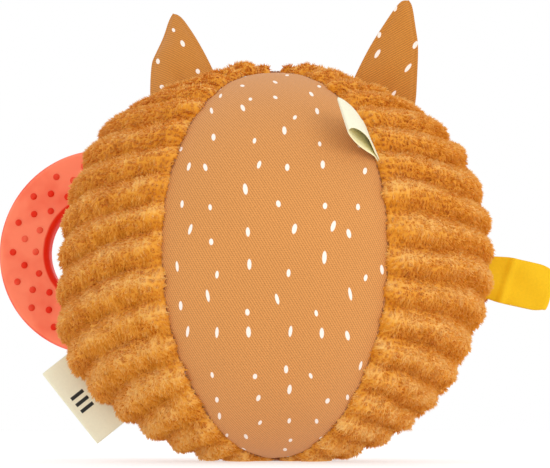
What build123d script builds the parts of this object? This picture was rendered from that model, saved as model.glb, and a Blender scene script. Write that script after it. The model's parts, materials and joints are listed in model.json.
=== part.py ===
"""Soft plush activity ball for a baby: six sewn gores round a rattle, two crinkle ears,
a teething ring on a strap, a ribbon tab and two folded labels.

Millimetres. The origin is on the ball's axis, on the flat it rests on, and +Z is up.
The plain back panel faces -Y, the animal face +Y, and the teething ring hangs at -X.
"""
import os
from math import acos, cos, degrees, hypot, atan2, radians, sin, sqrt

from build123d import *

os.makedirs("parts", exist_ok=True)

# Ball: each gore has an oval outline, a side arc and two flatter cap arcs that meet it smoothly
SIDE_ARC = 76.0  # radius of the side arc
SIDE_SHIFT = 12.0  # its centre, out from the ball's axis
CAP_SHIFT = 9.0  # the cap arcs' centres, across the ball's centre from their caps
BASE_CUT = 3.5  # how far the ball's own weight flattens its base
CAP_ARC = SIDE_ARC + hypot(SIDE_SHIFT, CAP_SHIFT)
BALL_RADIUS = SIDE_ARC + SIDE_SHIFT
CENTRE_Z = CAP_ARC - CAP_SHIFT - BASE_CUT
TANGENT_ANGLE = degrees(atan2(CAP_SHIFT, SIDE_SHIFT))
POLE_RADIUS = 5.0  # the gores stop this far from the axis, where a closing stitch fills in

# Layers, as offsets from the ball's outer surface
LINING = -5.0  # inside of every gore
COTTON_OUTSIDE = -3.5
PLUSH_OUTSIDE = 0.0
FILLING_OUTSIDE = -5.3
PATCH_OUTSIDE = -2.5
GORE_ANGLE = 60

# Rattle at the ball's centre
CASE_RADIUS = 17.0
CASE_WALL = 1.5
POCKET_GAP = 0.4
BEAD_RADIUS = 3.0
BEAD_ORBIT = 11.5

# Ears
EAR_GAP = 2.2  # ear's lower edge above the ball's surface
EAR_HALF_BASE = 16.0
EAR_TIP_SHIFT = 11.0  # the tip leans this far towards the pole
EAR_PLY = 1.5
FILM = 0.3
FILM_INSET = 2.5

# Teething ring, its own axis turned a little from Y towards X
RING_OUTER = 48.0
RING_HOLE = 23.8
RING_THICK = 9.0
RING_EDGE = 2.8
RING_X = -82.0
RING_Y = 95.0
RING_Z = CENTRE_Z + 16.7
RING_TURN = -8.0  # about Z, the way it hangs at rest
DOT_RADIUS = 1.6
DOT_HEIGHT = 0.8
DOT_ROWS = (0.62, 0.743, 0.85)  # of the ring's outer radius
DOTS_PER_ROW = 18

# Strap: a cloth loop round the ring's band, sewn into the front left seam
STRAP_SEAM = 120
STRAP_LIFT = 3.0  # the strap's hinge line outside the ball's surface
STRAP_WIDTH = 14.0
STRAP_PLY = 1.2
STRAP_PLAY = 1.9  # beside the band's edges, which curve away from the strap's middle
STRAP_FACE_PLAY = 1.7  # over the band's faces, clear of the dots
STRAP_CORNER = 3.0

# Ribbon tab and labels: folded tapes that stand out of a seam
TAB_WIDTH = 19.0
TAB_LENGTH = 22.0
TAB_SEAM_ANGLE = -3.0
TAB_DROOP = 9.0
TAB_LIFT = 3.2  # its inner end outside the ball's surface, clear at the lower corner too
LABEL_WIDTH = 36.0
LABEL_LENGTH = 15.0
LABEL_SEAM_ANGLE = -38.8
LABEL_LIFT = 1.0
LOOP_LABEL_WIDTH = 18.0
LOOP_LABEL_LENGTH = 21.0
LOOP_LABEL_SEAM = -62.0  # on the cotton side of the seam
LOOP_LABEL_SEAM_ANGLE = 33.5
LOOP_LABEL_LEAN = -45.0  # it lies over towards the back panel
LOOP_LABEL_LIFT = -1.5

THREAD_RADIUS = 0.4
THREAD_INSET = 0.9  # thread line from the seam, on the cotton side


def save(piece, label):
    """Labels one finished sub-part and writes its STEP file."""
    piece.part.label = label
    export_step(piece.part, f"parts/{label}.step")


def seam_plane(azimuth, shift=0.0):
    """The upright plane through a seam: its x runs out from the axis and its y runs up."""
    across = (sin(radians(azimuth)), -cos(radians(azimuth)), 0)
    origin = (across[0] * shift, across[1] * shift, 0)
    return Plane(origin=origin, x_dir=(cos(radians(azimuth)), sin(radians(azimuth)), 0), z_dir=across)


def oval_point(angle, lift=0.0):
    """The point in a seam plane where the ball's outward normal stands at this angle."""
    if abs(angle) <= TANGENT_ANGLE:
        radius, centre = SIDE_ARC + lift, (SIDE_SHIFT, CENTRE_Z)
    else:
        radius, centre = CAP_ARC + lift, (0, CENTRE_Z - CAP_SHIFT * (1 if angle > 0 else -1))
    return (centre[0] + radius * cos(radians(angle)), centre[1] + radius * sin(radians(angle)))


def oval_arcs(offset_by, pole_angle):
    """The three arcs of the ball's outline at one offset, from pole angle to pole angle."""
    cap, side = CAP_ARC + offset_by, SIDE_ARC + offset_by
    CenterArc((0, CENTRE_Z - CAP_SHIFT), cap, TANGENT_ANGLE, pole_angle - TANGENT_ANGLE)
    CenterArc((SIDE_SHIFT, CENTRE_Z), side, -TANGENT_ANGLE, 2 * TANGENT_ANGLE)
    CenterArc((0, CENTRE_Z + CAP_SHIFT), cap, -pole_angle, pole_angle - TANGENT_ANGLE)


def pole_line(inner, outer, sign):
    """The short line that closes a gore's section beside one pole; sign is 1 at the top."""
    heights = []
    for offset_by in (inner, outer):
        rise = sqrt((CAP_ARC + offset_by) ** 2 - POLE_RADIUS**2)
        heights.append(CENTRE_Z + sign * (rise - CAP_SHIFT))
    Line((POLE_RADIUS, heights[0]), (POLE_RADIUS, heights[1]))


def gore(azimuth, inner, outer):
    """One sewn gore, from its azimuth counterclockwise, flattened where the ball rests."""
    with BuildPart() as piece:
        with BuildSketch(seam_plane(azimuth)):
            with BuildLine():
                for offset_by in (inner, outer):
                    oval_arcs(offset_by, degrees(acos(POLE_RADIUS / (CAP_ARC + offset_by))))
                pole_line(inner, outer, 1)
                pole_line(inner, outer, -1)
            make_face()
        revolve(axis=Axis.Z, revolution_arc=GORE_ANGLE)
        split(bisect_by=Plane.XY, keep=Keep.TOP)
    return piece


GORES = {
    "back_panel": (-120, COTTON_OUTSIDE),
    "back_right_plush_panel": (-60, PLUSH_OUTSIDE),
    "front_right_plush_panel": (0, PLUSH_OUTSIDE),
    "face_panel": (60, COTTON_OUTSIDE),
    "front_left_plush_panel": (120, PLUSH_OUTSIDE),
    "back_left_plush_panel": (180, PLUSH_OUTSIDE),
}
for gore_name, (gore_azimuth, gore_outside) in GORES.items():
    save(gore(gore_azimuth, LINING, gore_outside), gore_name)

# Closing stitches: the disc of thread where the gores' points meet, at the bottom and the top
CLOSING_RADIUS = POLE_RADIUS - 0.2
with BuildPart() as bottom_closing_stitch:
    Cylinder(CLOSING_RADIUS, 1.4, align=(Align.CENTER, Align.CENTER, Align.MIN))
    fillet(bottom_closing_stitch.edges().sort_by(Axis.Z)[-1], 0.5)
save(bottom_closing_stitch, "bottom_closing_stitch")

CLOSING_TOP = CENTRE_Z + CAP_ARC - CAP_SHIFT - 0.8
with BuildPart() as top_closing_stitch:
    with Locations((0, 0, CLOSING_TOP)):
        Cylinder(CLOSING_RADIUS, 3.6, align=(Align.CENTER, Align.CENTER, Align.MAX))
    fillet(top_closing_stitch.edges().sort_by(Axis.Z)[-1], 1.2)
save(top_closing_stitch, "top_closing_stitch")


# Filling: two halves of wadding with a pocket for the rattle case between them
def filling(keep):
    with BuildPart() as piece:
        with BuildSketch(seam_plane(0)):
            with BuildLine():
                oval_arcs(FILLING_OUTSIDE, 90)
                Line((0, CENTRE_Z - CAP_ARC - FILLING_OUTSIDE + CAP_SHIFT),
                     (0, CENTRE_Z + CAP_ARC + FILLING_OUTSIDE - CAP_SHIFT))
            make_face()
        revolve(axis=Axis.Z)
        with Locations((0, 0, CENTRE_Z)):
            Sphere(CASE_RADIUS + POCKET_GAP, mode=Mode.SUBTRACT)
        split(bisect_by=Plane.XZ, keep=keep)
    return piece


save(filling(Keep.TOP), "back_filling")
save(filling(Keep.BOTTOM), "front_filling")


# Rattle case: two moulded half shells that meet at the case's middle
def case_half(start_angle):
    with BuildPart() as piece:
        with BuildSketch(seam_plane(0)):
            with BuildLine():
                CenterArc((0, CENTRE_Z), CASE_RADIUS, start_angle, 90)
                CenterArc((0, CENTRE_Z), CASE_RADIUS - CASE_WALL, start_angle, 90)
                for end_angle in (start_angle, start_angle + 90):
                    run = (cos(radians(end_angle)), sin(radians(end_angle)))
                    Line((run[0] * (CASE_RADIUS - CASE_WALL), CENTRE_Z + run[1] * (CASE_RADIUS - CASE_WALL)),
                         (run[0] * CASE_RADIUS, CENTRE_Z + run[1] * CASE_RADIUS))
            make_face()
        revolve(axis=Axis.Z)
    return piece


save(case_half(0), "rattle_case_upper")
save(case_half(-90), "rattle_case_lower")

# Rattle beads: loose balls lying in the bottom of the case
with BuildPart() as rattle_beads:
    for bead_tilt, bead_count in ((0, 1), (34, 6)):
        for bead in range(bead_count):
            turn = 2 * 180 * bead / bead_count
            out = BEAD_ORBIT * sin(radians(bead_tilt))
            with Locations((out * cos(radians(turn)), out * sin(radians(turn)),
                            CENTRE_Z - BEAD_ORBIT * cos(radians(bead_tilt)))):
                Sphere(BEAD_RADIUS)
save(rattle_beads, "rattle_beads")


# Seam threads: the line of stitching along each edge of the two cotton panels
with BuildPart() as seam_threads:
    for seam, side in ((-120, 1), (-60, -1), (60, 1), (120, -1)):
        plane = seam_plane(seam, -side * THREAD_INSET)
        lift = COTTON_OUTSIDE + THREAD_RADIUS + 0.05
        with BuildLine(plane) as path:
            oval_arcs(lift, 84)
        start = path.wires()[0]
        with BuildSketch(Plane(origin=start @ 0, z_dir=start % 0)):
            Circle(THREAD_RADIUS)
        sweep(path=start)
save(seam_threads, "seam_threads")


# Face: appliqued patches on the face panel, cut from a thin layer over the cotton
def face_patch(draw):
    """A patch on the face panel: a thin gore cut to the outline that draw makes."""
    with BuildPart() as piece:
        add(gore(GORES["face_panel"][0], COTTON_OUTSIDE, PATCH_OUTSIDE).part)
        with BuildSketch(Plane(origin=(0, 0, CENTRE_Z), x_dir=(-1, 0, 0), z_dir=(0, 1, 0))):
            draw()
        extrude(amount=BALL_RADIUS, mode=Mode.INTERSECT)
    return piece


MUZZLE_Z = -24.0
NOSE_Z = -13.0
EYE_X = 17.0
EYE_Z = 10.0


def draw_muzzle():
    for cheek in (-1, 1):
        with Locations((cheek * 11, MUZZLE_Z)):
            Ellipse(17, 15)


def draw_nose(gap=0):
    with Locations((0, NOSE_Z)):
        Ellipse(7.5 + gap, 5.2 + gap)


def draw_eye(side):
    with Locations((side * EYE_X, EYE_Z)):
        Circle(4.2)


NOSE_GAP = 0.1
with BuildPart() as muzzle_patch:
    add(face_patch(draw_muzzle).part)
    add(face_patch(lambda: draw_nose(NOSE_GAP)).part, mode=Mode.SUBTRACT)
save(muzzle_patch, "muzzle_patch")
save(face_patch(draw_nose), "nose_patch")
save(face_patch(lambda: draw_eye(-1)), "right_eye")
save(face_patch(lambda: draw_eye(1)), "left_eye")


# Ears: two cotton plies with a crinkle film between them, standing in the side seams
def ear_frame(azimuth, angle, lean):
    """Ear plane: x along the seam towards the pole, y outwards, leaning towards +Y."""
    out, up = oval_point(angle, EAR_GAP)
    side = cos(radians(azimuth))
    to_pole = (-side * sin(radians(angle)), 0, cos(radians(angle)))
    outward = (side * cos(radians(angle)) * cos(radians(lean)), sin(radians(lean)),
               sin(radians(angle)) * cos(radians(lean)))
    normal = Vector(*to_pole).cross(Vector(*outward))
    return Plane(origin=(side * out, 0, up), x_dir=to_pole, z_dir=normal)


def ear_ply(plane, tip_height, inset, start, thickness):
    """One flat layer of an ear, from start to start + thickness off the ear's middle."""
    base, tip = (EAR_HALF_BASE, 0), (EAR_TIP_SHIFT, tip_height)
    outer_mid = ((tip[0] - base[0]) / 2 - 3.5, tip_height / 2 + 2.5)
    inner_mid = ((tip[0] + base[0]) / 2 + 1.0, tip_height / 2)
    with BuildPart() as piece:
        with BuildSketch(plane.offset(start)) as outline:
            with BuildLine():
                Line((-base[0], 0), base)
                ThreePointArc(base, inner_mid, tip)
                ThreePointArc(tip, outer_mid, (-base[0], 0))
            make_face()
            fillet(outline.vertices().group_by(Axis.Z)[-1], 3.0)
            if inset:
                offset(amount=-inset, mode=Mode.REPLACE)
        extrude(amount=thickness)
    return piece


EARS = {"left": (180, 65.5, 36.0, 25), "right": (0, 60.5, 40.0, 0)}
for ear, (ear_seam, ear_angle, ear_height, ear_lean) in EARS.items():
    ear_plane = ear_frame(ear_seam, ear_angle, ear_lean)
    towards_front = 1 if ear_plane.z_dir.Y > 0 else -1
    front_start = FILM / 2 if towards_front > 0 else -FILM / 2 - EAR_PLY
    back_start = -FILM / 2 - EAR_PLY if towards_front > 0 else FILM / 2
    save(ear_ply(ear_plane, ear_height, 0, front_start, EAR_PLY), f"{ear}_ear_front")
    save(ear_ply(ear_plane, ear_height, 0, back_start, EAR_PLY), f"{ear}_ear_back")
    save(ear_ply(ear_plane, ear_height, FILM_INSET, -FILM / 2, FILM), f"{ear}_ear_film")

# Teething ring: a moulded ring with rounded edges and three rows of raised dots on each face
RING_SIDE = (cos(radians(RING_TURN)), sin(radians(RING_TURN)), 0)
RING_AHEAD = (-sin(radians(RING_TURN)), cos(radians(RING_TURN)), 0)
RING_PLANE = Plane(origin=(RING_X, RING_Y, RING_Z), x_dir=RING_SIDE, z_dir=[-a for a in RING_AHEAD])
RING_AXIS = Axis((RING_X, RING_Y, RING_Z), RING_AHEAD)
with BuildPart() as teether_ring:
    with BuildSketch(Plane(origin=(RING_X, RING_Y, RING_Z), x_dir=RING_SIDE, z_dir=(0, 0, 1))):
        with Locations(((RING_OUTER + RING_HOLE) / 2, 0)):
            RectangleRounded(RING_OUTER - RING_HOLE, RING_THICK, RING_EDGE)
    revolve(axis=RING_AXIS)
    for face in (-1, 1):
        with BuildSketch(RING_PLANE.offset(face * (RING_THICK / 2 - 0.2))):
            for row, row_ratio in enumerate(DOT_ROWS):
                first = 180 / DOTS_PER_ROW * (row % 2)
                with PolarLocations(RING_OUTER * row_ratio, DOTS_PER_ROW, start_angle=first):
                    Circle(DOT_RADIUS)
        extrude(amount=face * (DOT_HEIGHT + 0.2), taper=18)
save(teether_ring, "teether_ring")

# Ring strap: the loop round the band and a short tail to its hinge line at the seam
BAND_X = RING_X + (RING_OUTER + RING_HOLE) / 2 * RING_SIDE[0]
BAND_Y = RING_Y + (RING_OUTER + RING_HOLE) / 2 * RING_SIDE[1]
LOOP_X = RING_OUTER - RING_HOLE + 2 * STRAP_PLAY
LOOP_Y = RING_THICK + 2 * STRAP_FACE_PLAY
HINGE_OUT = oval_point(0)[0] + STRAP_LIFT - 1.2
HINGE_X = HINGE_OUT * cos(radians(STRAP_SEAM))
HINGE_Y = HINGE_OUT * sin(radians(STRAP_SEAM))
with BuildPart() as ring_strap:
    with BuildSketch(Plane.XY.offset(RING_Z - STRAP_WIDTH / 2)):
        with Locations(Location((BAND_X, BAND_Y, 0), (0, 0, RING_TURN))):
            RectangleRounded(LOOP_X + 2 * STRAP_PLY, LOOP_Y + 2 * STRAP_PLY, STRAP_CORNER)
            RectangleRounded(LOOP_X, LOOP_Y, STRAP_CORNER - STRAP_PLY, mode=Mode.SUBTRACT)
        with BuildLine():
            Polyline((HINGE_X - STRAP_PLY, HINGE_Y), (HINGE_X + STRAP_PLY, HINGE_Y),
                     (HINGE_X + STRAP_PLY, BAND_Y - LOOP_Y / 2 - STRAP_PLY / 2),
                     (HINGE_X - STRAP_PLY, BAND_Y - LOOP_Y / 2 - STRAP_PLY / 2), close=True)
        make_face()
        with Locations((HINGE_X, HINGE_Y)):
            Circle(STRAP_PLY)
    extrude(amount=STRAP_WIDTH)
save(ring_strap, "ring_strap")


# Folded tapes: a hairpin section across the seam, as wide as the tape along the seam
def folded_tape(place, droop, lean, size, ply, gap):
    """Two plies that leave the seam side by side and meet in a round fold at the outer end.

    Place is its seam's azimuth, its angle up the seam and its lift. Droop turns the tape down
    within the seam's plane, lean turns it sideways out of that plane, and size is its length out
    from the seam and its width along the seam.
    """
    azimuth, angle, lift = place
    length, width = size
    out, up = oval_point(angle, lift)
    seam = seam_plane(azimuth)
    origin = seam.from_local_coords((out, up, 0))
    tilt = radians(angle - droop)
    straight_out = seam.x_dir * cos(tilt) + Vector(0, 0, 1) * sin(tilt)
    along = Vector(0, 0, 1) * cos(tilt) - seam.x_dir * sin(tilt)
    outward = straight_out * cos(radians(lean)) - seam.z_dir * sin(radians(lean))
    half = gap / 2 + ply
    straight = length - half
    with BuildPart() as piece:
        with BuildSketch(Plane(origin=origin, x_dir=outward, z_dir=along)):
            with BuildLine():
                Line((0, half), (straight, half))
                ThreePointArc((straight, half), (straight + half, 0), (straight, -half))
                Line((straight, -half), (0, -half))
                Line((0, -half), (0, -gap / 2))
                Line((0, -gap / 2), (straight, -gap / 2))
                ThreePointArc((straight, -gap / 2), (straight + gap / 2, 0), (straight, gap / 2))
                Line((straight, gap / 2), (0, gap / 2))
                Line((0, gap / 2), (0, half))
            make_face()
        extrude(amount=width / 2, both=True)
    return piece


save(folded_tape((0, TAB_SEAM_ANGLE, TAB_LIFT), TAB_DROOP, 0, (TAB_LENGTH, TAB_WIDTH), 0.7, 1.2),
     "ribbon_tab")
save(folded_tape((180, LABEL_SEAM_ANGLE, LABEL_LIFT), 0, 0, (LABEL_LENGTH, LABEL_WIDTH), 0.5, 0.6),
     "side_label")
save(folded_tape((LOOP_LABEL_SEAM, LOOP_LABEL_SEAM_ANGLE, LOOP_LABEL_LIFT), 0, LOOP_LABEL_LEAN,
                 (LOOP_LABEL_LENGTH, LOOP_LABEL_WIDTH), 0.5, 1.6), "seam_label")
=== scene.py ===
"""The looks of a plush rattle ball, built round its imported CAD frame.

Metres. The camera looks at the plain back panel, which faces -Y; the animal face is on +Y.
"""
import json
from math import atan2, cos, hypot, pi, radians, sin

import bpy
import numpy as np
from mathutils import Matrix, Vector


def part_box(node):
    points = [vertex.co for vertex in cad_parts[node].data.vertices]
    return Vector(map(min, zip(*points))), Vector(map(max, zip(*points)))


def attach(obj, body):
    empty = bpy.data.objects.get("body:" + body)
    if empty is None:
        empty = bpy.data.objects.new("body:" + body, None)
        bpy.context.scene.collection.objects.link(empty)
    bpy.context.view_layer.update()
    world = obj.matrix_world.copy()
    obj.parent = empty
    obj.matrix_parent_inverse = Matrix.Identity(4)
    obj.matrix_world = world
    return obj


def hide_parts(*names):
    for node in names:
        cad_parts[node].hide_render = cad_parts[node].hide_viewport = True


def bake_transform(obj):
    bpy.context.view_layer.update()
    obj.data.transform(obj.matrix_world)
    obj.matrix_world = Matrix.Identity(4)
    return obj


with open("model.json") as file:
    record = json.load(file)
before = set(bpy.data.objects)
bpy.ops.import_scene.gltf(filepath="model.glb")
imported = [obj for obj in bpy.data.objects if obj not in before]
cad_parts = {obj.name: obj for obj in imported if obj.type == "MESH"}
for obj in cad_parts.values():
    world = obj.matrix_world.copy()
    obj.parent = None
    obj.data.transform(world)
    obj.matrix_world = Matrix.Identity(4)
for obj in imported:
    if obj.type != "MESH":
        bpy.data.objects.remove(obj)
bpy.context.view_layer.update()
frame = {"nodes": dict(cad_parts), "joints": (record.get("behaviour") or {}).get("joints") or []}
JOINTS = {joint["name"]: joint for joint in frame["joints"]}
MM = 0.001


def level_ray(azimuth):
    """The level direction at an azimuth in degrees."""
    return np.array([cos(radians(azimuth)), sin(radians(azimuth)), 0])


# The ball's outline, as the CAD has it: a side arc and two flatter cap arcs
SIDE_ARC = 76 * MM
SIDE_SHIFT = 12 * MM
CAP_SHIFT = 9 * MM
CAP_ARC = SIDE_ARC + hypot(SIDE_SHIFT, CAP_SHIFT)
TANGENT_ANGLE = atan2(CAP_SHIFT, SIDE_SHIFT)
SIDE_RUN = SIDE_ARC * TANGENT_ANGLE  # from the equator to the arcs' join, along the outline
HALF_RUN = SIDE_RUN + CAP_ARC * (pi / 2 - TANGENT_ANGLE)  # from the equator to a pole
CENTRE_Z = JOINTS["bead_tumble"]["pos_m"][2]
POLE_RADIUS = 5 * MM
LINING = -5 * MM  # the gores' inner face, off the outline
FLOOR_GAP = 0.15 * MM

# Gores
GORE_HALF = radians(30)
COTTON_GRID = (200, 72)  # rows and columns of points
PLUSH_GRID = (330, 118)
COTTON_EDGE = -4.7 * MM
COTTON_BULGE = 1.6 * MM
PLUSH_GROOVE = -3.3 * MM
PLUSH_CREST = -0.2 * MM
PLUSH_EDGE = -4.7 * MM
RIB_ROLL = 6.5 * MM  # a rib's rounded end
RIB_OVERHANG = 1.5 * MM
PILE_LENGTH = 1.9 * MM
PILE_WIDTH = 0.26 * MM
PILE_COUNT = 46000  # fibres on each plush gore
PILE_DEPTH = 0.25 * MM  # of a fibre's root
ROOT_PAINTED_SHADE = -0.2  # painted shade added to a fibre's tone at its root, and painted light at its tip
TIP_PAINTED_LIGHT = 0.3
BACKING_SHADE = 0.05  # light scatters down through the pile
TUFT = np.array([1.7, 2.3]) * MM  # a tuft of pile, across the gore and along it
# The stuffing's humps and hollows: place on the outline, spread and lift, in mm
HUMPS = {"right": ((54, 28, 3.8), (-32, 14, -2.2)),
         "left": ((60, 24, 4.4), (-42, 25, 5.2), (0, 14, -1.6), (-82, 20, 1.5)),
         "top": ((118, 12, 1.5),)}
# Gores of plush: azimuth, pitch of the ribs in mm, their slope, how the lower ones sag, and a seed
PLUSH_GORES = {"back_left": (180, 13.6, -0.11, -0.16, 21), "back_right": (-60, 13.2, 0.03, 0.16, 31),
               "front_right": (0, 13.6, -0.05, -0.16, 41), "front_left": (120, 13.6, 0.08, 0.16, 51)}

# Radii of the threads
SEAM_RADIUS = 0.23 * MM
SPOKE_RADIUS = 0.36 * MM
EDGING_RADIUS = 0.26 * MM
MOUTH_RADIUS = 0.42 * MM
GLINT_RADIUS = 0.45 * MM

# Teething ring and the strap's loop round its band, as the CAD has them
RING_OUTER = 48 * MM
RING_HOLE = 23.8 * MM
RING_THICK = 9 * MM
RING_EDGE = 2.8 * MM
RING_CENTRE = np.array(JOINTS["ring_turn"]["pos_m"])
RING_AHEAD = np.array(JOINTS["ring_turn"]["axis"], float)
RING_SIDE = np.array([RING_AHEAD[1], -RING_AHEAD[0], 0])
RING_AXES = (RING_SIDE, RING_AHEAD, np.array([0, 0, 1.0]))
DOT_RADIUS = 1.6 * MM
DOT_ROWS = (0.62, 0.743, 0.85)  # of the ring's outer radius
DOTS_PER_ROW = 18
DOT_TONE = 0.78
STRAP_WIDTH = 14 * MM
STRAP_PLY = 1.2 * MM
STRAP_PLAY = 1.9 * MM  # beside the band's edges
STRAP_FACE_PLAY = 1.7 * MM
STRAP_HINGE = np.array(JOINTS["ring_swing"]["pos_m"])
STRAP_RAY = level_ray(120)  # out of the strap's seam

# Ears: the seam's azimuth, the angle up it, the tip's height and the lean towards +Y; angles in degrees
EARS = {"left": (180, 65.5, 36 * MM, 25), "right": (0, 60.5, 40 * MM, 0)}
# Corners of each ear's edges, as (along the seam, out from it) in mm; the last one is the tip
EAR_OUTER_EDGES = {"left": ((-15.5, -9), (-14.5, 0), (-8, 17), (-5, 20.5), (1.5, 27), (7, 34), (9.7, 35.3)),
                   "right": ((-15, -9), (-13.5, 1), (-7.5, 13), (-2, 24), (3, 30.5), (8.5, 38), (10.8, 39))}
EAR_INNER_EDGES = {"left": ((13.5, -9), (14.5, 0), (14.2, 13), (13.6, 22), (12.3, 33.5), (9.7, 35.3)),
                   "right": ((13.5, -9), (14.8, 0), (15.6, 14), (15, 26), (14, 37.5), (10.8, 39))}
EAR_PRINT_SHIFT = {"left": (0.009, 0.012), "right": (0.03, 0.043)}  # of the print, in metres
EAR_BACK_SHIFT = 50 * MM  # of the print on an ear's other face
EAR_GAP = 2.2 * MM
EAR_SKIRT = 8 * MM  # how far an ear reaches down into its seam
EAR_BOW = 1.4 * MM  # how far an ear's sides bend out of its plane
EAR_GRID = (90, 56)  # rows and columns of points
FILM_GRID = (50, 30)
FILM_INSET = 3 * MM
FILM_THICK = 0.12 * MM

# Tapes: the ribbon tab, the wide label with its bars and the narrow label, all folded double
RIBBON_WIDTH = 19 * MM
RIBBON_THICK = 0.6 * MM
LABEL_WIDTH = 36 * MM
LABEL_THICK = 0.45 * MM
LOOP_HALF_WIDTH = 9 * MM
BARS = 3  # on each face of the wide label
BAR_PITCH = 3.2 * MM
BAR_THICK = 0.16 * MM


def oval(run, lift):
    """Distance from the axis and height at runs along the outline, lifted off the surface."""
    along = np.abs(run)
    on_side = along < SIDE_RUN
    angle = np.where(on_side, along / SIDE_ARC, TANGENT_ANGLE + (along - SIDE_RUN) / CAP_ARC)
    radius = np.where(on_side, SIDE_ARC, CAP_ARC) + lift
    out = np.where(on_side, SIDE_SHIFT, 0) + radius * np.cos(angle)
    up = np.where(on_side, 0, -CAP_SHIFT) + radius * np.sin(angle)
    return out, CENTRE_Z + np.sign(run) * up


def on_ball(azimuth, run, lift):
    """Points on the ball at azimuths in radians and runs along the outline, kept off the floor."""
    out, up = oval(run, lift)
    up = np.maximum(up, FLOOR_GAP)
    return np.stack(np.broadcast_arrays(out * np.cos(azimuth), out * np.sin(azimuth), up), -1)


def unit(v):
    return v / np.maximum(np.linalg.norm(v, axis=-1, keepdims=True), 1e-12)


def noise(x, y, seed):
    """Smooth noise from 0 to 1, with x and y in cells. It's the same on every run."""
    cell_x, cell_y = np.floor(x).astype(np.int64), np.floor(y).astype(np.int64)
    part_x, part_y = x - cell_x, y - cell_y
    part_x, part_y = part_x**2 * (3 - 2 * part_x), part_y**2 * (3 - 2 * part_y)

    def corner(i, j):
        mixed = (i * 374761393 + j * 668265263 + seed * 974634777) & 0x7FFFFFFF
        mixed = ((mixed ^ (mixed >> 13)) * 1274126177) & 0x7FFFFFFF
        return ((mixed ^ (mixed >> 16)) & 0xFFFF) / 65535

    low = corner(cell_x, cell_y) * (1 - part_x) + corner(cell_x + 1, cell_y) * part_x
    high = corner(cell_x, cell_y + 1) * (1 - part_x) + corner(cell_x + 1, cell_y + 1) * part_x
    return low * (1 - part_y) + high * part_y


def wobble(x, y, wide, tall, seed):
    """Smooth noise from -0.5 to 0.5, in cells of wide by tall millimetres."""
    return noise(x / (wide * MM), y / (tall * MM), seed) - 0.5


def ramp(distance, reach):
    """A share that rises straight from 0 to 1 over reach millimetres."""
    return np.clip(distance / (reach * MM), 0, 1)


def fade(distance, reach):
    """A share that falls from 1 towards 0 over about reach millimetres."""
    return np.exp(-distance / (reach * MM))


def hump(distance, spread):
    """A share that is 1 at no distance and falls off smoothly on both sides."""
    return np.exp(-(distance / (spread * MM)) ** 2)


def circle(steps):
    """Even angles once round."""
    return np.linspace(0, 2 * pi, steps + 1)[:-1]


def from_axes(origin, axes, *distances):
    """Points at grids of distances along some axes."""
    for axis, distance in zip(axes, distances):
        origin = origin + distance[..., None] * axis
    return origin


# ---- meshes

def make_piece(name, points, faces, material, uv=None, tone=None, smooth=True):
    """A mesh object from arrays of points and faces; uv and tone are per point, in any shape."""
    mesh = bpy.data.meshes.new(name)
    faces = faces.tolist() if isinstance(faces, np.ndarray) else faces
    mesh.from_pydata(np.asarray(points, float).reshape(-1, 3).tolist(), [], faces)
    mesh.polygons.foreach_set("use_smooth", [smooth] * len(mesh.polygons))
    mesh.materials.append(material)
    if uv is not None:
        corners = np.zeros(len(mesh.loops), np.int32)
        mesh.loops.foreach_get("vertex_index", corners)
        layer = mesh.uv_layers.new(name="UVMap")
        layer.data.foreach_set("uv", np.asarray(uv, np.float32).reshape(-1, 2)[corners].ravel())
    if tone is not None:
        layer = mesh.attributes.new("tone", "FLOAT", "POINT")
        layer.data.foreach_set("value", np.asarray(tone, np.float32).ravel())
    mesh.update()
    piece = bpy.data.objects.new(name, mesh)
    bpy.context.scene.collection.objects.link(piece)
    return piece


def grid_faces(rows, columns, start=0, wrap_rows=False, wrap_columns=False, flip=False):
    """Quads of a grid of points, row after row; a wrap joins the last row or column to the first."""
    row, column = np.meshgrid(np.arange(rows if wrap_rows else rows - 1),
                              np.arange(columns if wrap_columns else columns - 1), indexing="ij")
    below, after = (row + 1) % rows, (column + 1) % columns
    quads = np.stack([row * columns + column, row * columns + after,
                      below * columns + after, below * columns + column], -1)
    quads = quads.reshape(-1, 4) + start
    return quads[:, ::-1] if flip else quads


def slab(name, outer, inner, material, uv, back_shift=0, tone=None):
    """A closed slab between two grids of the same size, with cloth coordinates on both faces."""
    rows, columns = outer.shape[:2]
    count = rows * columns
    rim = np.concatenate([np.arange(columns), np.arange(2, rows) * columns - 1,
                          np.arange(count - 1, count - columns - 1, -1),
                          np.arange(rows - 2, 0, -1) * columns])
    after = np.roll(rim, -1)
    walls = np.stack([rim, rim + count, after + count, after], -1)
    faces = np.concatenate([grid_faces(rows, columns), grid_faces(rows, columns, count, flip=True), walls])
    return make_piece(name, np.stack([outer, inner]), faces, material,
                      uv=np.stack([uv, uv + back_shift]), tone=tone)


def tubes(rings):
    """Points and faces of many closed tubes, from an array of tubes by rings by ring points."""
    count, rows, columns = rings.shape[:3]
    quads = grid_faces(rows, columns, wrap_columns=True)
    ends = [list(range(columns))[::-1], list(range((rows - 1) * columns, rows * columns))]
    faces = []
    for first in range(0, count * rows * columns, rows * columns):
        faces += (quads + first).tolist()
        faces += [[first + corner for corner in end] for end in ends]
    return rings.reshape(-1, 3), faces


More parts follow.
